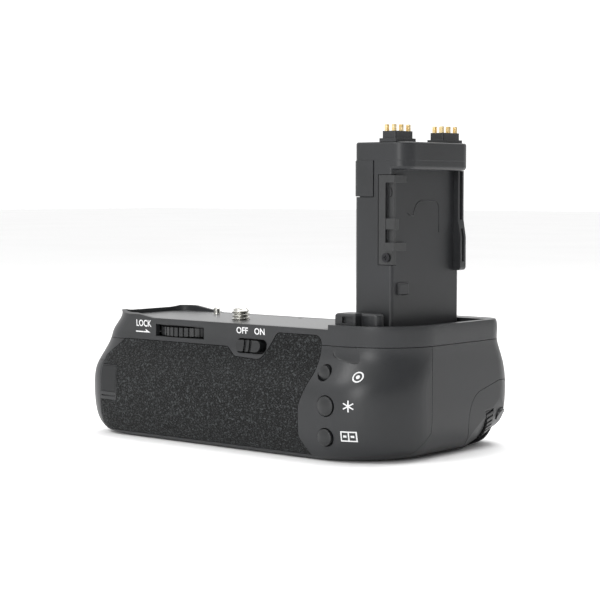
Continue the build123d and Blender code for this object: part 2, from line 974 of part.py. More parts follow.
def small_screw(length):
    """A screw whose head's underside is at the origin, pointing down."""
    shape = upright(case_screw_head, 0, 0, 0, case_screw_head_height)
    shape += upright(case_screw_radius, 0, 0, -length, 0)
    half = case_screw_radius
    slot = block((-half, half), (-drive_width / 2, drive_width / 2), (case_screw_head_height / 2, overrun))
    return shape - slot - Rot(0, 0, 90) * slot


def case_screws():
    height = case_screw_head_height + case_screw_inset
    turned = Rot(180, 0, 0) * small_screw(case_screw_tip - height)
    return [Pos(x, y, height) * turned for x, y in case_screw_spots]


def rear_rubber():
    return rear_panel(0)


def grip_rubber():
    return front_panel(0)


def cord_cover():
    skin = outer - under_flap
    return skin & block((flap_left, flap_right), (whole_y[0], -rear_reach / 2), (flap_low, flap_high))


# Release module: cover, dial, button, switch and board.

ear_reach = dial_thickness / 2 + dial_slot_gap
dial_low = dial_proud - dial_radius


def dial_room():
    """The slot that the dial turns in."""
    start = release_plane.from_local_coords((dial_shift - ear_reach, dial_lift, dial_low))
    return rod(dial_radius + dial_slot_gap, start, release_turned, ear_reach * 2)


def release_cover():
    shape = outer & release_prism(0, -release_depth, release_wall) & corner_form(0)
    hollow = casing(release_wall) & release_prism(-release_wall, -release_depth - overrun, 0)
    shape -= hollow & corner_form(release_wall)
    for side in (-1, 1):
        near = dial_shift + side * ear_reach
        far = near + side * ear_thickness
        ear_y = (dial_lift - ear_width / 2, dial_lift + ear_width / 2)
        shape += release_block((near, far), ear_y, (dial_low - ear_below_axle, -release_wall / 2))
    shape -= dial_room()
    shape += release_posts()
    start = release_plane.from_local_coords((dial_shift - overrun / 2, dial_lift, dial_low))
    shape -= rod(dial_axle_radius, start, release_turned, overrun / 2 + ear_reach + ear_thickness)
    shape -= release_rod(shutter_radius + button_clearance, shutter_shift, shutter_lift, -release_depth,
                         overrun)
    wide = shutter_radius + button_clearance + shutter_flange + part_gap
    return shape - release_rod(wide, shutter_shift, shutter_lift, release_board_top, -release_wall)


shutter_flange_top = -release_wall - part_gap
shutter_flange_low = shutter_flange_top - shutter_flange_thickness
shutter_plunger_low = shutter_flange_low - shutter_plunger_length
shutter_switch_top = shutter_plunger_low - shutter_travel - part_gap / 2
release_board_top = shutter_switch_top - shutter_switch_height


release_board_left = dial_shift + ear_reach + ear_thickness + release_board_gap


def release_post_spots():
    half = release_board_width / 2 - release_post_shift
    spots = []
    for x in (release_board_left + release_post_shift, release_board_right - release_post_shift):
        for y in (shutter_lift - half, shutter_lift + half):
            spots.append((x, y))
    return spots


def release_posts():
    room = under_rubber & corner_form(release_wall / 2)
    return [release_rod(release_post_radius, x, y, release_board_top, -release_wall / 2) & room
            for x, y in release_post_spots()]


def finger_dial():
    disc = ribbed(dial_radius, dial_thickness, dial_rib_count, dial_groove_depth, dial_groove_width)
    disc -= Cylinder(dial_axle_radius + running_gap, overrun)
    start = release_plane.from_local_coords((dial_shift - dial_thickness / 2, dial_lift, dial_low))
    return Plane(origin=start, x_dir=release_normal, z_dir=release_turned) * disc


def dial_axle():
    reach = ear_reach + ear_thickness
    start = release_plane.from_local_coords((dial_shift - reach, dial_lift, dial_low))
    return rod(dial_axle_radius, start, release_turned, reach * 2)


def shutter_button():
    cap = release_rod(shutter_radius, shutter_shift, shutter_lift, shutter_flange_low, shutter_rise)
    rim = cap.edges().sort_by(Axis(release_origin, release_normal))[-1]
    cap = fillet(rim, shutter_rise / 2)
    wide = shutter_radius + button_clearance + shutter_flange
    cap += release_rod(wide, shutter_shift, shutter_lift, shutter_flange_low, shutter_flange_top)
    return cap + release_rod(shutter_plunger_radius, shutter_shift, shutter_lift, shutter_plunger_low,
                             shutter_flange_low)


def shutter_switch():
    half = shutter_switch_size / 2
    return release_block((shutter_shift - half, shutter_shift + half),
                         (shutter_lift - half, shutter_lift + half),
                         (release_board_top, shutter_switch_top))


def release_board():
    half = release_board_width / 2
    board = release_block((release_board_left, release_board_right),
                          (shutter_lift - half, shutter_lift + half),
                          (release_board_top - board_thickness, release_board_top))
    board &= release_prism(-release_wall - hairline, -release_depth - overrun, 0)
    return board & casing(release_wall + hairline) & corner_form(release_wall + hairline)


# Metal frame, wheel train and attaching screw.

def chassis():
    shape = inner & under(chassis_top) & over(chassis_low) & right_of(chassis_left_x)
    notch_x = (upper_button_x - notch_reach, upper_button_x + notch_reach)
    shape -= block(notch_x, (whole_y[0], notch_front_y), whole_z)
    shape -= upright(bush_radius, screw_x, screw_y, 0, whole_z[1])
    shape -= upright(axle_radius, wheel_x, wheel_y, 0, whole_z[1])
    shape += [upright(post_radius, x, y, chassis_top, chassis_top + post_height) for x, y in board_posts()]
    return shape - [upright(case_screw_radius, x, y, 0, chassis_top) for x, y in flange_screw_spots()]


def board_posts():
    xs = (board_left_x + post_margin, board_right_x - post_margin)
    ys = (board_rear_y + post_margin, board_front_y - post_margin)
    return [(x, y) for x in xs for y in ys]


board_low = chassis_top + post_height
board_top = board_low + board_thickness


def main_board():
    shape = block((board_left_x, board_right_x), (board_rear_y, board_front_y), (board_low, board_top))
    chip_x = between((board_left_x, board_right_x), 0.5)
    chip_y = board_rear_y / 2
    half = chip_size / 2
    return shape + block((chip_x - half, chip_x + half), (chip_y - half, chip_y + half),
                         (board_top, board_top + chip_height))


def screw_bush():
    flange_top = gear_bottom - part_gap
    shape = upright(bush_radius, screw_x, screw_y, chassis_low, chassis_top)
    shape += upright(bush_flange_radius, screw_x, screw_y, chassis_top, flange_top)
    return shape - upright(screw_shaft_radius + running_gap, screw_x, screw_y, 0, whole_z[1])


def wheel_axle():
    shape = upright(axle_radius, wheel_x, wheel_y, chassis_low, deck_low)
    return shape + upright(axle_shoulder_radius, wheel_x, wheel_y, chassis_top, gear_bottom - part_gap)


wheel_top = wheel_bottom + wheel_thickness


def thumb_wheel():
    toward = math.degrees(math.atan2(screw_y - wheel_y, screw_x - wheel_x))
    gear = ring_gear(gear_teeth, gear_bottom, gear_bottom + gear_thickness, wheel_x, wheel_y, toward)
    shape = gear + upright(wheel_hub_radius, wheel_x, wheel_y, gear_bottom, wheel_bottom)
    rim = ribbed(wheel_radius, wheel_thickness, wheel_rib_count, wheel_groove_depth, wheel_groove_width)
    shape += Pos(wheel_x, wheel_y, wheel_bottom) * rim
    shape += upright(axle_shoulder_radius, wheel_x, wheel_y, wheel_top, deck_low - part_gap)
    return shape - upright(axle_radius + running_gap, wheel_x, wheel_y, 0, whole_z[1])


gear_top = gear_bottom + gear_thickness
collar_low = gear_top + part_gap
shaft_low = chassis_low + part_gap * 2


def tripod_screw():
    """The attaching screw: ring grooves stand for its thread above the deck."""
    shape = upright(screw_radius, screw_x, screw_y, collar_low, screw_top)
    shape += upright(collar_radius, screw_x, screw_y, collar_low, collar_low + collar_thickness)
    shape += upright(screw_shaft_radius, screw_x, screw_y, shaft_low, collar_low)
    top_edge = shape.edges().sort_by(Axis.Z)[-1]
    shape = chamfer(top_edge, thread_depth)
    groove = make_face(Plane.XZ * Polyline((screw_radius + thread_depth, thread_pitch / 2),
                                           (screw_radius - thread_depth, 0),
                                           (screw_radius + thread_depth, -thread_pitch / 2), close=True))
    ring = revolve(groove, Axis.Z)
    count = int((screw_top - thread_low) / thread_pitch)
    return shape - [Pos(screw_x, screw_y, thread_low + thread_pitch * i) * ring for i in range(count)]


def screw_gear():
    toward = math.degrees(math.atan2(screw_y - wheel_y, screw_x - wheel_x))
    shape = ring_gear(pinion_teeth, gear_bottom, gear_top, screw_x, screw_y,
                      toward + 180 + 180 / pinion_teeth)
    return shape - upright(screw_shaft_radius, screw_x, screw_y, 0, whole_z[1])


def locating_pin():
    shape = upright(locating_radius, locating_x, locating_y, deck_height, deck_height + locating_height)
    shape = chamfer(shape.edges().sort_by(Axis.Z)[-1], locating_chamfer)
    shape += upright(locating_shank_radius, locating_x, locating_y, deck_low, deck_height)
    return shape + upright(locating_flange_radius, locating_x, locating_y, deck_low - collar_thickness,
                           deck_low)


# Magazine.

def magazine_cap():
    shape = (outer & left_of(cap_x - cap_gap)) & under(opening_top - cap_gap)
    hollow_x = (cap_x - cap_inner_depth, cap_x)
    shape -= inner & block(hollow_x, whole_y, (tray_bottom, opening_top - cap_gap - cap_roof))
    tray_y = (tray_rear_y, tray_front_y)
    shape -= block((tray_left_x, cap_x), tray_y, (tray_bottom, whole_z[1])) & casing(wall)
    slot_x = (latch_arm_x - latch_face_gap, latch_arm_x + latch_arm_thickness + latch_face_gap)
    shape -= block(slot_x, (latch_slot_rear, latch_slot_front), (latch_z, whole_z[1]))
    start = (whole_x[0], latch_y, latch_z)
    shape -= rod(latch_radius + latch_face_gap, start, (1, 0, 0), latch_recess_x - whole_x[0])
    return shape - rod(latch_shaft_radius + running_gap, start, (1, 0, 0), cap_x - whole_x[0])


def magazine_tray():
    form = block((tray_left_x, tray_right_x), (tray_rear_y, tray_front_y), (tray_bottom, tray_high))
    form &= casing(wall + part_gap)
    rear_in, front_in = tray_rear_y + tray_wall, tray_front_y - tray_wall
    floor = tray_bottom + tray_wall
    for left in (first_pack_x, second_pack_x):
        form -= block((left - pack_gap, left + pack_length + pack_gap), (rear_in, front_in),
                      (floor, whole_z[1]))
    return form


first_pack_x = tray_left_x + tray_end_wall + pack_gap
second_pack_x = first_pack_x + pack_length + pack_gap * 2 + tray_divider


def battery_pack(left):
    rear = tray_rear_y + tray_wall + pack_gap
    floor = tray_bottom + tray_wall
    shape = block((left, left + pack_length), (rear, rear + pack_width), (floor, floor + pack_height))
    return fillet(shape.edges().filter_by(Axis.X), pack_round)


def latch_knob():
    face = latch_recess_x - latch_face_gap
    start = (face - latch_disc_thickness, latch_y, latch_z)
    shape = rod(latch_radius, start, (1, 0, 0), latch_disc_thickness)
    half_length = latch_radius * latch_grip_share
    half_width = latch_grip_width / 2
    grip_x = (start[0] - latch_grip_height, start[0])
    shape += block(grip_x, (latch_y - half_length, latch_y + half_length),
                   (latch_z - half_width, latch_z + half_width))
    return shape + rod(latch_shaft_radius, (face, latch_y, latch_z), (1, 0, 0), latch_arm_x - face)


def latch_arm():
    half = latch_arm_width / 2
    arm_x = (latch_arm_x, latch_arm_x + latch_arm_thickness)
    shape = block(arm_x, (latch_y, latch_y + latch_arm_length), (latch_z - half, latch_z + half))
    return shape + rod(latch_shaft_radius + half / 2, (latch_arm_x, latch_y, latch_z), (1, 0, 0),
                       latch_arm_thickness)


def terminal_spots():
    middle_y = between((terminal_rear, terminal_front), 0.5)
    first = middle_y - terminal_pitch * (terminal_count - 1) / 2
    return [first + terminal_pitch * i for i in range(terminal_count)]


terminal_z = between((tray_bottom, tray_high), 0.5)


def magazine_contacts():
    half, rise = terminal_width / 2, terminal_height / 2
    return [block((tray_right_x, tray_right_x + pad_thickness), (y - half, y + half),
                  (terminal_z - rise, terminal_z + rise))
            for y in terminal_spots()]


terminal_x = tray_right_x + pad_thickness + part_gap + terminal_reach


def terminal_block():
    return block((terminal_x, terminal_x + terminal_depth), (terminal_rear, terminal_front),
                 (terminal_low, chassis_low))


def terminal_springs():
    half, rise = terminal_width / 4, terminal_height / 2
    blades = []
    for y in terminal_spots():
        blade = block((terminal_x - terminal_reach, terminal_x), (y - half, y + half),
                      (terminal_z - rise, terminal_z + rise))
        edges = blade.edges().filter_by(Axis.Y).group_by(Axis.X)[0]
        blades.append(fillet(edges, terminal_reach * spring_round_share))
    return blades


# Buttons and the power switch.

def rear_button(x, z, y, radius):
    flange_y = y + button_flange_depth
    top_y = y - button_rise
    crown = radius * button_crown_share
    cap = rod(radius, (x, top_y, z), (0, 1, 0), flange_y + button_flange_thickness - top_y)
    cap &= Pos(x, top_y + crown, z) * Sphere(crown)
    return cap + rod(radius + button_flange, (x, flange_y, z), (0, 1, 0), button_flange_thickness)


def button_boards():
    half = dome_size / 2 + button_board_margin
    back = upper_button_y + button_board_depth
    reach = button_post_reach + button_post_radius + button_board_margin / 2
    small = block((upper_button_x - reach, upper_button_x + reach), (back, back + button_board_thickness),
                  (upper_button_z - half, upper_button_z + half))
    back = main_button_y + button_board_depth
    reach = button_post_side + button_post_radius + button_board_margin
    large = block((middle_button_x - reach, middle_button_x + reach), (back, back + button_board_thickness),
                  (button_board_low, button_board_high))
    return [small, large]


def button_switches():
    half = dome_size / 2
    return [block((x - half, x + half), (y + button_dome_depth, y + button_board_depth),
                  (z - half, z + half))
            for _, x, z, y, _ in rear_buttons]


slider_left = switch_left + slider_gap
slider_right = slider_left + slider_width
slider_low = switch_low + slider_side_gap
slider_high = switch_high - slider_side_gap
flange_back_y = board_rear_y - slider_flange_gap
slider_middle = between((slider_left, slider_right), 0.5)


def power_switch():
    points = [(slider_left, slider_low), (slider_right, slider_low), (slider_right, slider_high),
              (slider_left, slider_high)]
    shape = wedge(points, switch_round - slider_gap, whole_y[0], flange_back_y) & casing(-slider_rise)
    step = slider_groove_width
    for side in (-1, 1):
        groove_x = slider_middle + side * step
        groove = block((groove_x - step / 2, groove_x + step / 2), (whole_y[0], flange_back_y), whole_z)
        shape -= groove - casing(slider_groove_depth - slider_rise)
    lap = slider_flange_overlap
    flange_y = (flange_back_y - slider_flange_thickness, flange_back_y)
    shape += block((slider_left - lap, slider_right + lap), flange_y, (slider_low - lap, slider_high + lap))
    return shape + rod(slider_peg_radius, (slider_middle, flange_back_y, slider_peg_z), (0, 1, 0),
                       slider_peg_length)


def slide_switch():
    middle = slider_middle + slider_travel / 2
    half = slide_switch_width / 2
    shape = block((middle - half, middle + half), (board_rear_y, board_rear_y + slide_switch_depth),
                  (board_top, board_top + slide_switch_height))
    room = slider_peg_radius + part_gap
    slot_y = (board_rear_y, board_rear_y + slide_switch_depth / 2)
    slot_x = (slider_middle - room, slider_middle + slider_travel + room)
    return shape - block(slot_x, slot_y, (slider_peg_z - room, slider_peg_z + room))


# Stem.

def stem_shell():
    shape = block((stem_left, stem_right), (stem_rear, stem_front), (chassis_top, head_seam))
    uprights = shape.edges().filter_by(Axis.Z).group_by(Axis.X)
    shape = fillet(uprights[0], stem_left_round)
    shape = fillet(shape.edges().filter_by(Axis.Z).group_by(Axis.X)[-1], stem_round)
    band = stem_head((head_bottom, head_seam), 0)
    shape += fillet(band.faces().sort_by(Axis.Z)[0].edges(), head_foot_round)
    flange_x = (stem_left - stem_flange, stem_right + stem_flange)
    flange_y = (stem_rear - stem_flange, stem_front + stem_flange)
    shape += pillar(flange_x, flange_y, (chassis_top, flange_top), stem_round)
    core_x = (stem_left + stem_wall, stem_right - stem_wall)
    core_y = (stem_rear + stem_wall, stem_front - stem_wall)
    core = block(core_x, core_y, (0, whole_z[1]))
    corner = block((bracket_left - stem_wall, stem_right),
                   (stem_rear, stem_rear + bracket_depth + stem_wall),
                   (bracket_low - stem_wall, bracket_top + stem_wall))
    shape -= core - corner
    shape -= stem_head((head_bottom + head_skin, head_seam), stem_wall)
    shape -= block((bracket_left, whole_x[1]), (whole_y[0], stem_rear + bracket_depth),
                   (bracket_low, bracket_top))
    shape -= bracket_hole()
    shape -= block((whole_x[0], ribbon_x), ribbon_window, (flange_top, ribbon_slot_top))
    shape -= leg_form(0, leg_thickness + hairline, hairline)
    shape -= corner_groove()
    nub = block((stem_right - stem_wall, stem_right + nub_rise),
                (nub_y - nub_width / 2, nub_y + nub_width / 2), (nub_low, nub_high))
    shape += fillet(nub.faces().sort_by(Axis.X)[-1].edges(), nub_rise / 2)
    return shape - [upright(case_screw_radius, x, y, 0, flange_top) for x, y in flange_screw_spots()]


flange_top = chassis_top + stem_flange_thickness
ribbon_window = (ribbon_y - ribbon_width / 2 - ribbon_margin, ribbon_y + ribbon_width / 2 + ribbon_margin)


def corner_groove():
    """A hollow running up the rear left corner, under the leg of the head."""
    return upright(groove_radius, stem_left - groove_radius / 2, stem_rear - groove_radius / 2,
                   groove_bottom, leg_bottom)


def stem_head(z, inset):
    x = (stem_left + inset, head_right - inset)
    y = (stem_rear + inset, stem_front - inset)
    shape = block(x, y, z)
    shape = fillet(shape.edges().filter_by(Axis.Z).group_by(Axis.X)[-1], head_round - inset)
    return fillet(shape.edges().filter_by(Axis.Z).group_by(Axis.X)[0], stem_left_round - inset)


def leg_form(proud, thickness, clearance):
    """The L-shaped leg of the head, wrapped round the stem's rear left corner."""
    left, rear = stem_left - proud, stem_rear - proud
    shape = block((left, leg_right + clearance), (rear, leg_front_y + clearance),
                  (leg_bottom - clearance, head_seam))
    corner = shape.edges().filter_by(Axis.Z).sort_by(lambda edge: edge.center().X + edge.center().Y)[0]
    shape = fillet(corner, stem_left_round + proud)
    return shape - block((stem_left + thickness, whole_x[1]), (stem_rear + thickness, whole_y[1]), whole_z)


def stem_cap():
    shape = stem_head((head_seam, head_top), 0)
    shape = fillet(shape.faces().sort_by(Axis.Z)[-1].edges(), head_edge_round)
    shape -= stem_head((head_seam, head_top - head_skin), stem_wall)
    shape += leg_form(leg_proud, leg_thickness, 0)
    for y in (block_rear_y, block_front_y):
        shape -= contact_form(y, 0, (head_seam, whole_z[1]))
    return shape


def bracket_hole():
    reach = stem_rear + bracket_screw_length
    return rod(bracket_screw_shank, (bracket_screw_x, stem_rear, bracket_screw_z), (0, 1, 0),
               reach - stem_rear)


def hinge_bracket():
    gap = hairline
    floor = stem_rear + bracket_depth
    face_y = stem_rear + bracket_sink
    whole = (bracket_low + gap, bracket_top - gap)
    shape = block((bracket_left + gap, stem_right), (floor - bracket_thickness, floor), whole)
    shape += block((bracket_left + gap, bracket_step_x), (face_y, floor), whole)
    shape += block((bracket_left + gap, stem_right), (face_y, floor), (bracket_low + gap, bracket_pad_top))
    shape += block((catch_left, stem_right + catch_rise), (floor - bracket_thickness - catch_rise, floor),
                   (catch_low, catch_high))
    for low, high in ((upper_lug_low, upper_lug_high), (lower_lug_low, lower_lug_high)):
        shape += block((lug_left, stem_right + lug_thickness), (stem_rear, floor), (low, high))
        shape += block((stem_right, stem_right + lug_thickness), (stem_rear, stem_rear + lug_reach),
                       (low, high))
    return shape - bracket_hole()


def stem_screw():
    face_y = stem_rear - bracket_screw_rise
    shape = rod(bracket_screw_radius, (bracket_screw_x, face_y, bracket_screw_z), (0, 1, 0),
                bracket_screw_rise)
    half = bracket_screw_shank
    for x, z in ((half, drive_width / 2), (drive_width / 2, half)):
        shape -= block((bracket_screw_x - x, bracket_screw_x + x), (face_y, face_y + bracket_screw_rise / 2),
                       (bracket_screw_z - z, bracket_screw_z + z))
    return shape + bracket_hole()


def door_clip():
    outer_x = stem_right + clip_rise
    points = [(stem_right, clip_low), (outer_x + clip_flare, clip_low),
              (outer_x + clip_flare, clip_flare_low),
              (outer_x, clip_flare_high), (outer_x, head_bottom), (stem_right, head_bottom)]
    sharp = 0.0
    rounds = [sharp, clip_round, clip_bend_round, clip_bend_round, sharp, sharp]
    shape = wedge(points, rounds, clip_inner_y, stem_front)
    middle = between((clip_inner_y, stem_front), 0.5)
    half = clip_slot_width / 2
    shape -= block((outer_x - clip_slot_depth, whole_x[1]), (middle - half, middle + half),
                   (clip_flare_high, whole_z[1]))
    window_y = (middle - clip_window_width / 2, middle + clip_window_width / 2)
    window = block((stem_right + clip_window_depth, whole_x[1]), window_y,
                   (clip_window_low, clip_window_high))
    return shape - window


def contact_form(y, edge, z):
    half_x, half_y = block_depth / 2 + edge, block_width / 2 + edge
    return block((block_x - half_x, block_x + half_x), (y - half_y, y + half_y), z)


def contact_spots():
    spots = []
    for block_y in (block_rear_y, block_front_y):
        for x in (block_x - contact_pitch_x / 2, block_x + contact_pitch_x / 2):
            for row in range(contact_rows):
                spots.append((x, block_y + contact_pitch_y * (row - (contact_rows - 1) / 2)))
    return spots


def contact_blade(x, y):
    low = block_top - contact_sink
    half_width, half_length = contact_width / 2, contact_length / 2
    return block((x - half_width, x + half_width), (y - half_length, y + half_length), (low, contact_top))


def contact_block(y):
    shape = contact_form(y, 0, (contact_board_top, block_top))
    shape = fillet(shape.edges().filter_by(Axis.Z), block_base_edge)
    shape += contact_form(y, block_base_edge, (head_top, head_top + block_base_height))
    return shape - [contact_blade(x, spot_y) for x, spot_y in contact_spots()]


def contact_pins():
    return [contact_blade(x, y) for x, y in contact_spots()]


def contact_board():
    low = contact_board_top - contact_board_thickness
    return stem_head((low, contact_board_top), stem_wall + part_gap)


def contact_ribbon():
    """Down the stem, then over to the connector on the main board."""
    y = (ribbon_y - ribbon_width / 2, ribbon_y + ribbon_width / 2)
    low = board_top + connector_height / 2
    shape = block((ribbon_x, ribbon_x + ribbon_thickness), y,
                  (low, contact_board_top - contact_board_thickness))
    return shape + block((board_right_x - post_margin, ribbon_x), y, (low, low + ribbon_thickness))


def ribbon_connector():
    right = board_right_x - post_margin
    half = ribbon_width / 2 + ribbon_margin
    return block((right - connector_depth, right), (ribbon_y - half, ribbon_y + half),
                 (board_top, board_top + connector_height))


def flange_screw_spots():
    inset = stem_flange - flange_screw_inset
    xs = (stem_left - inset, stem_right + inset)
    ys = (stem_rear - inset, stem_front + inset)
    return [(x, y) for x in xs for y in ys]


def stem_flange_screws():
    length = flange_top - chassis_low
    return [Pos(x, y, flange_top) * small_screw(length - part_gap) for x, y in flange_screw_spots()]


def hook_block():
    nub_radius = (hook_front - hook_nub_rear) / 2
    nub_x = hook_right - nub_radius
    shape = block((hook_left, hook_middle), (hook_rear, hook_front), (well_floor, hook_top))
    shape += block((hook_middle - hook_wall, nub_x), (hook_nub_rear, hook_front), (well_floor, hook_top))
    shape += upright(nub_radius, nub_x, hook_nub_rear + nub_radius, well_floor, hook_top)
    shape = fillet(shape.faces().sort_by(Axis.Z)[-1].edges(), hook_round)
    pocket_y = (hook_rear, hook_rear + hook_pocket_depth)
    return shape - block((hook_pocket_left, hook_middle - hook_wall), pocket_y,
                         (hook_pocket_low, hook_top - hook_wall))


shell = lower_shell()
parts["top_cover"] = top_cover()
parts["rear_cover"] = rear_cover(shell)
parts["front_cover"] = front_cover(shell)
parts["deck_plate"] = deck_plate()
parts["bottom_plate"] = bottom_plate()
parts["tripod_socket"] = tripod_socket()
parts["case_screws"] = case_screws()
parts["rear_rubber"] = rear_rubber()
parts["grip_rubber"] = grip_rubber()
parts["cord_cover"] = cord_cover()
parts["release_cover"] = release_cover()
parts["finger_dial"] = finger_dial()
parts["dial_axle"] = dial_axle()
parts["shutter_button"] = shutter_button()
parts["shutter_switch"] = shutter_switch()
parts["release_board"] = release_board()
parts["chassis"] = chassis()
parts["main_board"] = main_board()
parts["screw_bush"] = screw_bush()
parts["wheel_axle"] = wheel_axle()
parts["thumb_wheel"] = thumb_wheel()
parts["tripod_screw"] = tripod_screw()
parts["screw_gear"] = screw_gear()
parts["locating_pin"] = locating_pin()
parts["magazine_cap"] = magazine_cap()
parts["magazine_tray"] = magazine_tray()
parts["battery_pack_left"] = battery_pack(first_pack_x)
parts["battery_pack_right"] = battery_pack(second_pack_x)
parts["latch_knob"] = latch_knob()
parts["latch_arm"] = latch_arm()
parts["magazine_contacts"] = magazine_contacts()
parts["terminal_block"] = terminal_block()
parts["terminal_springs"] = terminal_springs()
for name, x, z, y, radius in rear_buttons:
    parts[name] = rear_button(x, z, y, radius)
parts["button_boards"] = button_boards()
parts["button_switches"] = button_switches()
parts["power_switch"] = power_switch()
parts["slide_switch"] = slide_switch()
parts["stem_shell"] = stem_shell()
parts["stem_cap"] = stem_cap()
parts["hinge_bracket"] = hinge_bracket()
parts["stem_screw"] = stem_screw()
parts["door_clip"] = door_clip()
parts["contact_block_rear"] = contact_block(block_rear_y)
parts["contact_block_front"] = contact_block(block_front_y)
parts["contact_pins"] = contact_pins()
parts["contact_board"] = contact_board()
parts["contact_ribbon"] = contact_ribbon()
parts["ribbon_connector"] = ribbon_connector()
parts["stem_flange_screws"] = stem_flange_screws()
parts["hook_block"] = hook_block()

os.makedirs("parts", exist_ok=True)
for name, shape in parts.items():
    solids = [solid for piece in (shape if isinstance(shape, list) else [shape]) for solid in piece.solids()]
    whole = solids[0] if len(solids) == 1 else Compound(children=solids)
    whole.label = name
    print(name, len(solids), round(sum(solid.volume for solid in solids), 2),
          all(solid.is_valid for solid in solids))
    export_step(whole, f"parts/{name}.step")
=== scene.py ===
# %% [markdown]
# # A camera battery grip
# The solid model comes from CAD and is loaded as a fixed frame: every case half, button,
# gear and battery already has its real size and place. This script gives those pieces
# their finishes, and adds what CAD leaves plain: the screw thread, the printed marks and
# the fine moulded details. The frame, the lights and the camera's place are in metres.
# Small shapes are written in millimetres and turned over by MM.

import math

import bmesh
import bpy
from mathutils import Matrix, Vector
from mathutils.bvhtree import BVHTree


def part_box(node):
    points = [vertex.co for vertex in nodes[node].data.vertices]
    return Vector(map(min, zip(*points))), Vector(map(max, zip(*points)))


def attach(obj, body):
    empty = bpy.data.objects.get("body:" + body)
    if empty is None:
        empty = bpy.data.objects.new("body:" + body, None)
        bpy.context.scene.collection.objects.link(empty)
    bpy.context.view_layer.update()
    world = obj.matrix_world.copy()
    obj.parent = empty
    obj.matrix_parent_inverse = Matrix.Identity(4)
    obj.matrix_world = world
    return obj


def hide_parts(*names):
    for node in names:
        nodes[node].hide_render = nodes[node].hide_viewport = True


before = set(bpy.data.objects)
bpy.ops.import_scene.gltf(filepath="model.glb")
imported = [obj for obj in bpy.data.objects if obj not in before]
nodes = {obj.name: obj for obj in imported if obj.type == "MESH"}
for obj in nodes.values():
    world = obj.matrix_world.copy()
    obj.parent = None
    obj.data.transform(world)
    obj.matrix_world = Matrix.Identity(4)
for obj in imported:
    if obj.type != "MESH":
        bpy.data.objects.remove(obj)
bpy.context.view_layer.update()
MM = 0.001

# %% [markdown]
# ## Colours and shader nodes
# Colours are written as the hex values that an eye-dropper gives, which are sRGB. Shaders
# work with linear light, so one function converts them. The others add shader nodes with
# their settings and links, so that a material reads like a recipe. One of them rounds each
# edge in the shading with a Bevel node, as no moulded or painted edge is quite sharp.

# %% Colour and node helpers
SOFT_EDGE, EDGE_SAMPLES = 0.22 * MM, 6
TONE_STOPS = (0.3, 0.7)


def linear(hex_value):
    """An sRGB hex colour as the four linear values that a shader socket takes."""
    channels = [int(hex_value[i:i + 2], 16) / 255 for i in (1, 3, 5)]
    curve = [c / 12.92 if c <= 0.04045 else ((c + 0.055) / 1.055) ** 2.4 for c in channels]
    return (*curve, 1.0)


def add_node(tree, kind, sockets=None, **settings):
    """Adds one node. sockets gives each input a value, or another node's output to link from."""
    node = tree.nodes.new(kind)
    for name, value in settings.items():
        setattr(node, name, value)
    for name, value in (sockets or {}).items():
        if isinstance(value, bpy.types.NodeSocket):
            tree.links.new(value, node.inputs[name])
        else:
            node.inputs[name].default_value = value
    return node


def start_material(name, roughness, metallic=0.0):
    """A material with its Principled shader, and the position in metres that patterns follow."""
    material = bpy.data.materials.new(name)
    material.use_nodes = True
    tree = material.node_tree
    shader = tree.nodes["Principled BSDF"]
    shader.inputs["Roughness"].default_value = roughness
    shader.inputs["Metallic"].default_value = metallic
    place = add_node(tree, "ShaderNodeTexCoord").outputs["Object"]
    return material, tree, shader, place


def noise(tree, place, width, detail=2.0):
    """A cloudy pattern whose blots are about that wide."""
    return add_node(tree, "ShaderNodeTexNoise", {"Vector": place, "Scale": 1 / width, "Detail": detail})


def two_tones(tree, amount, dark, light):
    """A colour that runs between two tones, over the middle of the pattern's range."""
    ramp = add_node(tree, "ShaderNodeValToRGB", {"Fac": amount})
    for stop, position, tone in zip(ramp.color_ramp.elements, TONE_STOPS, (dark, light)):
        stop.position = position
        stop.color = linear(tone)
    return ramp.outputs["Color"]


def set_surface(tree, shader, colour, amount, low, high):
    """Gives the shader its colour, and a roughness that follows a pattern between two values."""
    sheen = add_node(tree, "ShaderNodeMapRange", {"Value": amount, "To Min": low, "To Max": high})
    tree.links.new(colour, shader.inputs["Base Color"])
    tree.links.new(sheen.outputs["Result"], shader.inputs["Roughness"])


def set_relief(tree, shader, height, depth, strength, edge=SOFT_EDGE):
    """Rounds each edge in the shading, and raises the surface by a pattern."""
    soft = add_node(tree, "ShaderNodeBevel", {"Radius": edge}, samples=EDGE_SAMPLES)
    bump = add_node(tree, "ShaderNodeBump", {
        "Height": height, "Distance": depth, "Strength": strength, "Normal": soft.outputs["Normal"]})
    tree.links.new(bump.outputs["Normal"], shader.inputs["Normal"])


print("white is", linear("#ffffff"))

# %% [markdown]
# ## Moulded ABS
# The case is injection-moulded ABS. Its mould was spark-eroded, which leaves an even
# matt grain about a tenth of a millimetre wide. That is finer than a pixel here, so it is
# drawn three times as coarse. Its tone and its sheen drift a little over some 18 mm.

# %% Moulded plastic
GRAIN, GRAIN_STRENGTH = 0.3 * MM, 0.6
DRIFT, SHEEN_DRIFT = 18 * MM, 0.05


def moulded_plastic(name, dark, light, roughness, grain_height, shine=0.32):
    """Plastic as it leaves a spark-eroded mould: even grain, slightly uneven sheen."""
    material, tree, shader, place = start_material(name, roughness)
    shader.inputs["Specular IOR Level"].default_value = shine
    cloud = noise(tree, place, DRIFT, 3.0).outputs["Fac"]
    set_surface(tree, shader, two_tones(tree, cloud, dark, light), cloud,
                roughness - SHEEN_DRIFT, roughness + SHEEN_DRIFT)
    set_relief(tree, shader, noise(tree, place, GRAIN).outputs["Fac"], grain_height, GRAIN_STRENGTH)
    return material


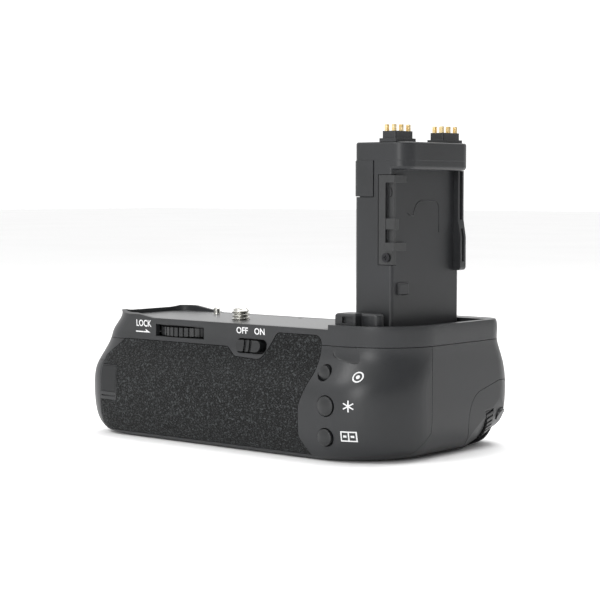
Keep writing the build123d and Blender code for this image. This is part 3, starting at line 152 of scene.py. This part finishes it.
case_abs = moulded_plastic("case_abs", "#232425", "#27282a", 0.38, 0.02 * MM, shine=0.36)
control_abs = moulded_plastic("control_abs", "#191a1b", "#1e1f20", 0.34, 0.008 * MM, shine=0.4)
inner_nylon = moulded_plastic("inner_nylon", "#1b1c1e", "#212224", 0.5, 0.02 * MM)
battery_abs = moulded_plastic("battery_abs", "#4b4d50", "#54565a", 0.45, 0.02 * MM)
amber_film = moulded_plastic("amber_film", "#8a4a16", "#9a5820", 0.25, 0.002 * MM)
solder_mask = moulded_plastic("solder_mask", "#0f4a2c", "#125434", 0.35, 0.01 * MM)
print("plastics ready")

# %% [markdown]
# ## Wrinkled rubber
# The grip panels are thin moulded rubber with a leather pattern: small flat pebbles of
# about a millimetre, parted by fine creases, over softer waves. Voronoi cells give the
# pebbles. They are drawn out along a slant, and noise bends them so that no two are alike.
# Small paler specks are painted highlights, glints painted on some of the pebbles.

# %% Leather-grain rubber
# The speck width and the speck bounds below shape the painted highlight specks.
PEBBLE, WAVE, GLINT_WIDTH = 0.85 * MM, 1.6 * MM, 0.7 * MM
RUBBER_SHINE, PEBBLE_BEND = 0.26, 0.0016
PEBBLE_SLANT, PEBBLE_STRETCH = (0, math.radians(35), 0), (0.62, 1.0, 1.2)
CREASE_SHARE = 0.3
GLINT_START, GLINT_FULL = 0.56, 0.68
CREASE_ROUGHNESS, PEBBLE_ROUGHNESS = 0.72, 0.42


def leather_rubber(name, dark, light, glint_tone, crease_depth):
    """Rubber moulded with a leather grain, with paler specks painted on as highlights."""
    material, tree, shader, place = start_material(name, CREASE_ROUGHNESS)
    shader.inputs["Specular IOR Level"].default_value = RUBBER_SHINE
    wave = noise(tree, place, WAVE, 3.0)
    bent = add_node(tree, "ShaderNodeMixRGB", {
        "Fac": PEBBLE_BEND, "Color1": place, "Color2": wave.outputs["Color"]}, blend_type="ADD")
    slanted = add_node(tree, "ShaderNodeMapping", {
        "Vector": bent.outputs["Color"], "Rotation": PEBBLE_SLANT, "Scale": PEBBLE_STRETCH})
    pebble = add_node(tree, "ShaderNodeTexVoronoi", {
        "Vector": slanted.outputs["Vector"], "Scale": 1 / PEBBLE}, feature="DISTANCE_TO_EDGE")
    crease = add_node(tree, "ShaderNodeMapRange", {
        "Value": pebble.outputs["Distance"], "From Max": CREASE_SHARE}).outputs["Result"]
    height = crease
    for layer in (wave, noise(tree, place, GRAIN)):
        height = add_node(tree, "ShaderNodeMath", {0: height, 1: layer.outputs["Fac"]},
                          operation="ADD").outputs[0]
    # Painted highlight: paler specks mixed into the colour as glints on the pebbles.
    glint_noise = noise(tree, place, GLINT_WIDTH, 1.0)
    glint_mask = add_node(tree, "ShaderNodeMapRange", {
        "Value": glint_noise.outputs["Fac"], "From Min": GLINT_START, "From Max": GLINT_FULL})
    # Painted shade: the creases take the dark tone and the pebble tops the light one.
    colour = add_node(tree, "ShaderNodeMixRGB", {
        "Fac": glint_mask.outputs["Result"], "Color1": two_tones(tree, crease, dark, light),
        "Color2": linear(glint_tone)})
    set_surface(tree, shader, colour.outputs["Color"], crease, CREASE_ROUGHNESS, PEBBLE_ROUGHNESS)
    set_relief(tree, shader, height, crease_depth, 1.0)
    return material


# First tone: painted shade in the creases; last tone: the painted highlight specks.
grip_rubber = leather_rubber("grip_rubber", "#070808", "#1c1e1f", "#3d4041", 0.4 * MM)
plain_rubber = moulded_plastic("plain_rubber", "#191a1b", "#1e1f20", 0.6, 0.01 * MM)
print("rubber ready")

# %% [markdown]
# ## Metals
# The deck is aluminium under satin black paint. The screw and the pins are turned steel,
# which shows fine rings round its axis. The contacts are gold plated, and plating is
# smooth, so their lines are the widest.

# %% Painted, turned and plated metal
RIPPLE, RIPPLE_DEPTH, RIPPLE_STRENGTH, RIPPLE_SHEEN = 1.2 * MM, 0.01 * MM, 0.4, 0.04
COAT_WEIGHT, COAT_ROUGHNESS = 0.12, 0.2
LINE_STRETCH, LINE_DEPTH, LINE_STRENGTH, LINE_SHEEN = (0.15, 0.15, 1.0), 0.01 * MM, 0.3, 0.07


def painted_metal(name, dark, light, roughness):
    """Satin paint on sheet metal, with the faint ripple that spraying leaves."""
    material, tree, shader, place = start_material(name, roughness)
    ripple = noise(tree, place, RIPPLE).outputs["Fac"]
    set_surface(tree, shader, two_tones(tree, ripple, dark, light), ripple,
                roughness - RIPPLE_SHEEN, roughness + RIPPLE_SHEEN)
    set_relief(tree, shader, ripple, RIPPLE_DEPTH, RIPPLE_STRENGTH)
    shader.inputs["Coat Weight"].default_value = COAT_WEIGHT
    shader.inputs["Coat Roughness"].default_value = COAT_ROUGHNESS
    return material


def bare_metal(name, dark, light, roughness, line_width):
    """Turned, drawn or plated metal: fine lines across Z and an uneven shine."""
    material, tree, shader, place = start_material(name, roughness, metallic=1.0)
    stretched = add_node(tree, "ShaderNodeMapping", {"Vector": place, "Scale": LINE_STRETCH})
    lines = noise(tree, stretched.outputs["Vector"], line_width, 3.0).outputs["Fac"]
    set_surface(tree, shader, two_tones(tree, lines, dark, light), lines,
                roughness - LINE_SHEEN, roughness + LINE_SHEEN)
    set_relief(tree, shader, lines, LINE_DEPTH, LINE_STRENGTH, SOFT_EDGE / 2)
    return material


deck_paint = painted_metal("deck_paint", "#2c2d2e", "#323334", 0.36)
bracket_paint = painted_metal("bracket_paint", "#1b1c1d", "#202122", 0.42)
turned_steel = bare_metal("turned_steel", "#a9a8a3", "#c9c8c2", 0.26, 0.2 * MM)
drawn_steel = bare_metal("drawn_steel", "#8b8b88", "#a5a5a1", 0.34, 0.4 * MM)
black_steel = bare_metal("black_steel", "#2c2c2e", "#3a3a3c", 0.4, 0.3 * MM)
turned_brass = bare_metal("turned_brass", "#b08d4c", "#c7a566", 0.3, 0.3 * MM)
gold_plate = bare_metal("gold_plate", "#e4c88a", "#f3e0b4", 0.28, 0.6 * MM)
print("metals ready")

# %% [markdown]
# ## White marking ink
# Marks beside the controls are pad printed: a thin, slightly matt white film.

# %% Marking ink
def flat_colour(name, dark, light, roughness, width):
    """A matt surface whose tone drifts a little over that width."""
    material, tree, shader, place = start_material(name, roughness)
    tone = noise(tree, place, width).outputs["Fac"]
    tree.links.new(two_tones(tree, tone, dark, light), shader.inputs["Base Color"])
    return material


white_ink = flat_colour("white_ink", "#c4c5c6", "#dededf", 0.55, 0.5 * MM)
print("ink ready")

# %% [markdown]
# ## Dressing the CAD nodes
# Each carried-over node keeps its shape and takes the finish of the part that it is.

# %% Give each node its finish
finishes = {
    case_abs: ["top_cover", "rear_cover", "front_cover", "magazine_cap", "stem_shell", "stem_cap",
               "release_cover", "hook_block", "door_clip", "contact_block_rear",
               "contact_block_front", "bottom_plate"],
    control_abs: ["upper_button", "middle_button", "lower_button", "shutter_button", "finger_dial",
                  "thumb_wheel", "power_switch", "latch_knob"],
    grip_rubber: ["rear_rubber", "grip_rubber"],
    plain_rubber: ["cord_cover"],
    deck_paint: ["deck_plate"],
    bracket_paint: ["hinge_bracket"],
    turned_steel: ["tripod_screw", "locating_pin", "tripod_socket", "dial_axle", "wheel_axle",
                   "screw_gear"],
    drawn_steel: ["chassis", "latch_arm"],
    black_steel: ["case_screws", "stem_flange_screws", "stem_screw"],
    turned_brass: ["screw_bush"],
    gold_plate: ["contact_pins", "terminal_springs", "magazine_contacts"],
    inner_nylon: ["magazine_tray", "terminal_block", "ribbon_connector", "slide_switch",
                  "shutter_switch", "button_switches"],
    solder_mask: ["main_board", "release_board", "button_boards", "contact_board"],
    battery_abs: ["battery_pack_left", "battery_pack_right"],
    amber_film: ["contact_ribbon"],
}
for material, names in finishes.items():
    for name in names:
        node = nodes[name]
        node.data.materials.clear()
        node.data.materials.append(material)
undressed = set(nodes) - {name for names in finishes.values() for name in names}
print("left without a finish:", sorted(undressed))

# %% [markdown]
# ## Making pieces from points
# The pieces that follow are small, so each is a mesh worked out point by point. One
# helper turns points and faces into an object that rides on a body of the frame.

# %% Mesh helper
def piece_from(name, points, faces, material, body, slot, smooth=True):
    """A mesh piece in the frame's millimetres."""
    mesh = bpy.data.meshes.new(name)
    mesh.from_pydata([Vector(p) * MM for p in points], [], faces)
    mesh.materials.append(material)
    mesh.polygons.foreach_set("use_smooth", [smooth] * len(faces))
    mesh.update()
    piece = bpy.data.objects.new(name, mesh)
    bpy.context.collection.objects.link(piece)
    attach(piece, body)
    return piece


# %% [markdown]
# ## The attaching screw
# CAD has ring grooves where the real screw has a helical thread. Here the radius of each
# point follows its height and its angle together, which winds one ridge round the shaft.
# The screw is a stack of rings with as many points each, closed at both ends.

# %% Threaded screw
SCREW_X, SCREW_Y = -9.6, -17.8
THREAD_RADIUS, THREAD_DEPTH, THREAD_PITCH = 3.175, 0.62, 1.27
CREST_WIDTH, CREST_CUT, TIP_TAPER = 1.6, 0.25, 0.9
COLLAR_LOW, COLLAR_HIGH, COLLAR_RADIUS, SHAFT_RADIUS = 35.9, 36.7, 4.6, 2.5
AROUND, RINGS_PER_TURN = 96, 12
screw_low, screw_high = (corner[2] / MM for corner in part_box("tripod_screw")[:2])


def thread_radius(height, angle):
    """Radius of a thread with slightly flattened crests, and a tapered tip."""
    phase = (height / THREAD_PITCH - angle / math.tau) % 1.0
    ridge = min(1.0, max(0.0, CREST_WIDTH * (1 - abs(2 * phase - 1)) - CREST_CUT))
    radius = THREAD_RADIUS - THREAD_DEPTH * (1 - ridge)
    return min(radius, THREAD_RADIUS - TIP_TAPER + max(0.0, screw_high - height))


def screw_rings():
    """From the bottom of the screw to its tip, the height of each ring and its points' radii."""
    plain = [(screw_low, SHAFT_RADIUS), (COLLAR_LOW, SHAFT_RADIUS), (COLLAR_LOW, COLLAR_RADIUS),
             (COLLAR_HIGH, COLLAR_RADIUS)]
    rings = [(height, [radius] * AROUND) for height, radius in plain]
    steps = round((screw_high - COLLAR_HIGH) / (THREAD_PITCH / RINGS_PER_TURN))
    for i in range(steps + 1):
        height = COLLAR_HIGH + (screw_high - COLLAR_HIGH) * i / steps
        rings.append((height, [thread_radius(height, math.tau * k / AROUND) for k in range(AROUND)]))
    return rings


def ring_stack(rings):
    """Points and faces of a stack of rings round the screw's axis."""
    points, faces = [], []
    for height, radii in rings:
        for k, radius in enumerate(radii):
            angle = math.tau * k / AROUND
            points.append((SCREW_X + radius * math.cos(angle), SCREW_Y + radius * math.sin(angle), height))
    for i in range(len(rings) - 1):
        for k in range(AROUND):
            a, b = i * AROUND + k, i * AROUND + (k + 1) % AROUND
            faces.append((a, b, b + AROUND, a + AROUND))
    faces.append(tuple(reversed(range(AROUND))))
    faces.append(tuple(range(len(points) - AROUND, len(points))))
    return points, faces


thread = piece_from("screw_thread", *ring_stack(screw_rings()), turned_steel, "screw", "steel")
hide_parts("tripod_screw")
print("thread faces:", len(thread.data.polygons))

# %% [markdown]
# ## Printed marks
# A pad print follows the surface under it. Each mark is drawn flat, cut into small faces,
# and then every point is dropped along +Y onto the covers and lifted by the ink's
# thickness. The words are the plain ones that such a switch and wheel carry.

# %% Dropping a flat drawing onto the covers
INK = 0.06
IN_FRONT = -60
LONG_EDGE, EDGE_CUTS = 0.7, 3


def surface_tree(names):
    """One search tree over several CAD nodes."""
    points, faces = [], []
    for name in names:
        mesh = nodes[name].data
        start = len(points)
        points += [v.co.copy() for v in mesh.vertices]
        faces += [[start + i for i in face.vertices] for face in mesh.polygons]
    return BVHTree.FromPolygons(points, faces)


covers = surface_tree(["top_cover", "rear_cover"])


def inked_point(x, z):
    """The point of the covers behind (x, z), lifted by the ink's thickness, in millimetres."""
    hit, normal, _, _ = covers.ray_cast(Vector((x, IN_FRONT, z)) * MM, Vector((0, 1, 0)))
    if normal.y > 0:
        normal = -normal
    return hit / MM + normal * INK


def print_mark(name, flat_mesh, x, z):
    """Drops a flat mesh, drawn in millimetres in its own XY plane, onto the covers round (x, z)."""
    drawing = bmesh.new()
    drawing.from_mesh(flat_mesh)
    bmesh.ops.triangulate(drawing, faces=drawing.faces[:])
    long_edges = [e for e in drawing.edges if e.calc_length() > LONG_EDGE]
    bmesh.ops.subdivide_edges(drawing, edges=long_edges, cuts=EDGE_CUTS)
    bmesh.ops.triangulate(drawing, faces=drawing.faces[:])
    points = [inked_point(x + v.co.x, z + v.co.y) for v in drawing.verts]
    faces = [[v.index for v in face.verts] for face in drawing.faces]
    drawing.free()
    return piece_from(name, points, faces, white_ink, "housing", None, smooth=False)


# %% [markdown]
# Letters come from Blender's own font, spread a little as printed ink is. A text object
# is turned into a mesh, and its middle is put at the origin so that a mark can be placed
# by its centre. The word beside the wheel is taller and narrower than the other two.

# %% Words
INK_SPREAD = 0.018
LETTER_HEIGHT = 2.27
LOCK_HEIGHT, LOCK_NARROWING = LETTER_HEIGHT * 1.08, 0.86


def word_mesh(text, height):
    """A word as a flat mesh, with capitals of that height in millimetres."""
    curve = bpy.data.curves.new("word", "FONT")
    curve.body = text
    curve.size = 1.0
    curve.offset = INK_SPREAD
    curve.resolution_u = 3
    holder = bpy.data.objects.new("word", curve)
    bpy.context.collection.objects.link(holder)
    bpy.context.view_layer.update()
    shaped = holder.evaluated_get(bpy.context.evaluated_depsgraph_get())
    mesh = bpy.data.meshes.new_from_object(shaped)
    bpy.data.objects.remove(holder)
    xs = [v.co.x for v in mesh.vertices]
    ys = [v.co.y for v in mesh.vertices]
    scale = height / (max(ys) - min(ys))
    middle = Vector(((max(xs) + min(xs)) / 2, (max(ys) + min(ys)) / 2, 0))
    mesh.transform(Matrix.Scale(scale, 4) @ Matrix.Translation(-middle))
    return mesh


lock_word = word_mesh("LOCK", LOCK_HEIGHT)
lock_word.transform(Matrix.Scale(LOCK_NARROWING, 4, (1, 0, 0)))
print_mark("lock_word", lock_word, -43.4, 41.1)
print_mark("off_word", word_mesh("OFF", LETTER_HEIGHT), 4.4, 41.0)
print_mark("on_word", word_mesh("ON", LETTER_HEIGHT), 12.3, 41.0)

# %% [markdown]
# The arrow and the three marks beside the rear buttons are drawn from bars and rings. The
# arrow has half a head, above its shaft.

# %% Signs
LINE = 0.42
ARROW_START, ARROW_END, SHAFT_LEVEL = -3.6, 2.6, -0.3
ARROW_HEAD = [(1.2, 0.75), (3.8, -0.51), (1.8, -0.51)]
STAR_REACH, STAR_ANGLES = 1.9, (30, 90, 150)
SPOT_RADIUS, DOT_RADIUS, DOT_WIDTH = 1.7, 0.6, 0.55
HALF_WIDTH, HALF_HEIGHT = 2.4, 1.5
DASH_OUT, DASH_IN, DASH_WIDTH = 1.75, 0.65, 0.7


def joined(parts):
    """Several lists of flat polygons as one mesh."""
    mesh = bpy.data.meshes.new("sign")
    points, faces = [], []
    for polygon in parts:
        faces.append(list(range(len(points), len(points) + len(polygon))))
        points += [(px, py, 0) for px, py in polygon]
    mesh.from_pydata(points, [], faces)
    return mesh


def bar(x0, y0, x1, y1, width):
    """A straight bar between two points."""
    along = Vector((x1 - x0, y1 - y0)).normalized()
    side = Vector((-along.y, along.x)) * width / 2
    return [(x0 - side.x, y0 - side.y), (x1 - side.x, y1 - side.y), (x1 + side.x, y1 + side.y),
            (x0 + side.x, y0 + side.y)]


def ring(radius, width, parts=28):
    """A ring as a row of small quads."""
    quads = []
    for i in range(parts):
        a, b = math.tau * i / parts, math.tau * (i + 1) / parts
        corners = [(radius, a), (radius, b), (radius - width, b), (radius - width, a)]
        quads.append([(r * math.cos(t), r * math.sin(t)) for r, t in corners])
    return quads


def star_bar(angle):
    """A bar through the middle of the star, with its angle in degrees."""
    x, y = STAR_REACH * math.cos(math.radians(angle)), STAR_REACH * math.sin(math.radians(angle))
    return bar(-x, -y, x, y, LINE)


arrow = [bar(ARROW_START, SHAFT_LEVEL, ARROW_END, SHAFT_LEVEL, LINE), ARROW_HEAD]
spot = ring(SPOT_RADIUS, LINE) + ring(DOT_RADIUS, DOT_WIDTH)
star = [star_bar(angle) for angle in STAR_ANGLES]
post_top = HALF_HEIGHT + LINE / 2
area = [bar(-HALF_WIDTH, side * HALF_HEIGHT, HALF_WIDTH, side * HALF_HEIGHT, LINE) for side in (-1, 1)]
area += [bar(side * HALF_WIDTH, -post_top, side * HALF_WIDTH, post_top, LINE) for side in (-1, 0, 1)]
area += [bar(side * DASH_OUT, 0, side * DASH_IN, 0, DASH_WIDTH) for side in (-1, 1)]
print_mark("lock_arrow", joined(arrow), -43.9, 38.3)
print_mark("focus_sign", joined(spot), 56.4, 28.6)
print_mark("star_sign", joined(star), 54.7, 19.25)
print_mark("area_sign", joined(area), 54.5, 9.3)
print("marks printed")

# %% [markdown]
# ## Moulded lines on the stem
# The stem's right face has a thin raised line bent like a crook, and the door bracket has
# a small crescent. Each is a low ridge with sloped sides that follows a path of straight
# runs and arcs, and starts a little below the surface.

# %% Ridges
STEM_RIGHT, BRACKET_FLOOR = 58.0, -17.4
RIDGE_SINK, TOP_SHARE = 0.05, 0.4
CROOK_WIDTH, CROOK_HEIGHT = 0.5, 0.13
CRESCENT_WIDTH, CRESCENT_HEIGHT = 0.45, 0.4


def arc(x, y, radius, start, end, parts=6):
    """Points on an arc, with its angles in degrees."""
    turns = [math.radians(start + (end - start) * i / parts) for i in range(parts + 1)]
    return [(x + radius * math.cos(t), y + radius * math.sin(t)) for t in turns]


def ridge_sides(path, half):
    """For each point of the path, its places to the left and right at that distance."""
    sides = []
    for i, (x, y) in enumerate(path):
        before, after = path[max(i - 1, 0)], path[min(i + 1, len(path) - 1)]
        along = Vector((after[0] - before[0], after[1] - before[1])).normalized() * half
        sides.append(((x - along.y, y + along.x), (x + along.y, y - along.x)))
    return sides


def moulded_ridge(name, path, width, height, place, material, body, slot):
    """A closed ridge. place(u, v, rise) gives the point over (u, v) of the surface."""
    foot, top = ridge_sides(path, width / 2), ridge_sides(path, width * TOP_SHARE / 2)
    points, faces = [], []
    for (foot_left, foot_right), (top_left, top_right) in zip(foot, top):
        points += [place(*foot_left, -RIDGE_SINK), place(*top_left, height),
                   place(*top_right, height), place(*foot_right, -RIDGE_SINK)]
    for i in range(0, len(points) - 4, 4):
        for k in range(4):
            faces.append((i + k, i + (k + 1) % 4, i + 4 + (k + 1) % 4, i + 4 + k))
    faces += [(3, 2, 1, 0), tuple(range(len(points) - 4, len(points)))]
    return piece_from(name, points, faces, material, body, slot)


crook = [(-10.0, 81.4), (-8.4, 80.7), (-6.6, 80.6)]
crook += arc(-1.6, 80.6, 5.0, 180, 90) + arc(5.3, 83.0, 2.6, 90, 0) + [(7.9, 74.9)]
crescent = arc(54.9, 88.4, 2.05, 47, -47, 8)
moulded_ridge("stem_crook", crook, CROOK_WIDTH, CROOK_HEIGHT,
              lambda u, v, rise: (STEM_RIGHT + rise, u, v), case_abs, "housing", "shell_plastic")
moulded_ridge("bracket_crescent", crescent, CRESCENT_WIDTH, CRESCENT_HEIGHT,
              lambda u, v, rise: (u, BRACKET_FLOOR - rise, v), bracket_paint, "housing", "dark_metal")
print("ridges added")

# %% [markdown]
# ## Floor, light and camera
# The object stands on matt white card in a white room, which is darker towards its right
# end. The room's even light fills every shadow, one large soft light above and behind
# draws the bright line along the deck, and a small one over the rear makes the rubber's
# pebbles glint. A narrow one beside the camera draws the soft bright band down the
# casing's rounded corner.

# %% Studio
REACH = 6.0
CARD_DRIFT = 0.25
LEFT_LIGHT, RIGHT_LIGHT, FALL_END = 1.2, 0.3, 0.8
GRIP_MIDDLE, CASING_CORNER = (0, 0, 0.04), (0.05, -0.02, 0.04)

floor_mesh = bpy.data.meshes.new("floor")
floor_mesh.from_pydata([(-REACH, -REACH, 0), (REACH, -REACH, 0), (REACH, REACH, 0), (-REACH, REACH, 0)],
                       [], [(0, 1, 2, 3)])
floor_mesh.materials.append(flat_colour("floor_card", "#fafafa", "#fdfdfd", 0.8, CARD_DRIFT))
floor = bpy.data.objects.new("floor", floor_mesh)
bpy.context.collection.objects.link(floor)

world = bpy.data.worlds.new("white_room")
bpy.context.scene.world = world
world.use_nodes = True
room = world.node_tree
direction = add_node(room, "ShaderNodeTexCoord").outputs["Generated"]
side = add_node(room, "ShaderNodeSeparateXYZ", {"Vector": direction})
fall = add_node(room, "ShaderNodeMapRange", {
    "Value": side.outputs["X"], "From Min": 0.0, "From Max": FALL_END,
    "To Min": LEFT_LIGHT, "To Max": RIGHT_LIGHT})
background = room.nodes["Background"]
background.inputs["Color"].default_value = linear("#ffffff")
room.links.new(fall.outputs["Result"], background.inputs["Strength"])


def softbox(name, place, aim, width, height, power):
    """A rectangular light that faces a point."""
    lamp = bpy.data.lights.new(name, "AREA")
    lamp.shape = "RECTANGLE"
    lamp.size, lamp.size_y, lamp.energy = width, height, power
    light = bpy.data.objects.new(name, lamp)
    light.location = place
    light.rotation_euler = (Vector(aim) - Vector(place)).to_track_quat("-Z", "Y").to_euler()
    bpy.context.collection.objects.link(light)


softbox("top_light", (0.0, 0.25, 0.7), GRIP_MIDDLE, 0.7, 0.5, 4.0)
softbox("rear_light", (-0.2, -0.6, 0.7), GRIP_MIDDLE, 0.25, 0.25, 2.5)
softbox("corner_light", (0.32, -1.0, 0.3), CASING_CORNER, 0.12, 0.5, 3.6)

# %% [markdown]
# The camera stands where the photograph's did. Its place, turn and lens were worked out
# from the perspective of the long edges and the stem.

# %% Camera
CAMERA_PLACE = (0.3936, -0.4656, 0.08887)
CAMERA_PITCH, CAMERA_AZIMUTH = 86.32, 40.0
LENS, SENSOR, NEAREST = 101.8, 36.0, 0.01
camera_data = bpy.data.cameras.new("camera")
camera_data.sensor_width = SENSOR
camera_data.lens = LENS
camera_data.clip_start = NEAREST
camera = bpy.data.objects.new("camera", camera_data)
camera.location = CAMERA_PLACE
camera.rotation_euler = (math.radians(CAMERA_PITCH), 0, math.radians(CAMERA_AZIMUTH))
bpy.context.collection.objects.link(camera)
bpy.context.scene.camera = camera
bpy.context.scene.view_settings.view_transform = "Standard"
